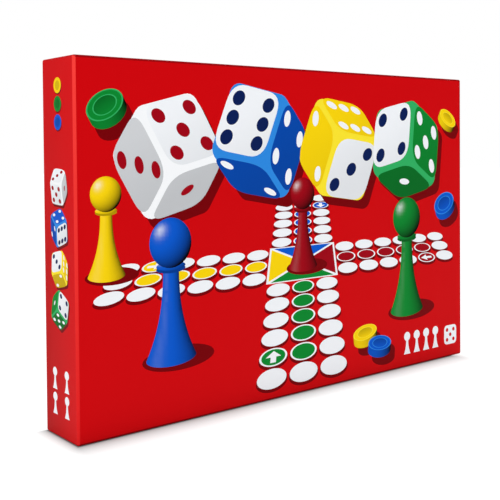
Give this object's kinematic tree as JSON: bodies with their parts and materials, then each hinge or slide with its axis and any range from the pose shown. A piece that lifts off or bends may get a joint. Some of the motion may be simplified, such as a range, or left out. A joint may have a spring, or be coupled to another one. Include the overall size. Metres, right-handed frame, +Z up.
{
  "type": "ludo board game",
  "caption": "Flat telescoping cardboard game box with a lift-off lid, formed trays of counters and dice, and a folding ludo board.",
  "frame": {"origin": "bottom centre of the closed box as it stands on one long side", "axes": "+X along the width, -Y out of the front of the lid, +Z up"},
  "size_m": [0.42, 0.048, 0.27],
  "materials": {
    "greyboard": "bare grey",
    "stay_paper": "gummed kraft",
    "printed_wrap": "satin laminated",
    "insert_plastic": "formed sheet, satin",
    "leaflet_paper": "uncoated",
    "board_card": "bare grey",
    "board_print": "satin varnished",
    "board_lining": "embossed matt",
    "spine_tape": "woven cloth",
    "dice_plastic": "moulded, polished",
    "green_plastic": "moulded, polished",
    "yellow_plastic": "moulded, polished",
    "blue_plastic": "moulded, polished",
    "red_plastic": "moulded, polished"
  },
  "bodies": {
    "base": {"base_board": "greyboard", "base_corner_stays": "stay_paper", "base_wrap": "printed_wrap", "dice_tray": "insert_plastic", "board_shelf": "insert_plastic", "rules_leaflet": "leaflet_paper", "green_tray": "insert_plastic", "green_counter_1": "green_plastic", "green_counter_2": "green_plastic", "green_counter_3": "green_plastic", "green_counter_4": "green_plastic", "yellow_tray": "insert_plastic", "yellow_counter_1": "yellow_plastic", "yellow_counter_2": "yellow_plastic", "yellow_counter_3": "yellow_plastic", "yellow_counter_4": "yellow_plastic", "blue_tray": "insert_plastic", "blue_counter_1": "blue_plastic", "blue_counter_2": "blue_plastic", "blue_counter_3": "blue_plastic", "blue_counter_4": "blue_plastic", "red_tray": "insert_plastic", "red_counter_1": "red_plastic", "red_counter_2": "red_plastic", "red_counter_3": "red_plastic", "red_counter_4": "red_plastic", "die_1": "dice_plastic", "die_2": "dice_plastic"},
    "lid": {"lid_board": "greyboard", "lid_corner_stays": "stay_paper", "lid_wrap": "printed_wrap"},
    "game_board": {"board_panel_lower": "board_card", "board_print_lower": "board_print", "board_lining_lower": "board_lining", "board_tape_lower": "spine_tape"},
    "board_leaf": {"board_panel_leaf": "board_card", "board_print_leaf": "board_print", "board_lining_leaf": "board_lining", "board_tape_leaf": "spine_tape"}
  },
  "joints": [
    {"name": "lid_lift_off", "type": "slide", "parent": "base", "child": "lid", "axis": [0, -1, 0], "range_m": [0, 0.43]},
    {"name": "board_lift_out", "type": "slide", "parent": "base", "child": "game_board", "axis": [0, -1, 0], "range_m": [0, 0.009]},
    {"name": "board_unfold", "type": "hinge", "parent": "game_board", "child": "board_leaf", "pos_m": [0.075, -0.0126, 0.135], "axis": [0, 0, -1], "range_deg": [0, 180]}
  ],
  "couplings": [
    {"joint": "board_lift_out", "follows": "lid_lift_off", "ratio": 0.02093},
    {"joint": "board_unfold", "follows": "lid_lift_off", "rad_per_m": 7.306}
  ]
}
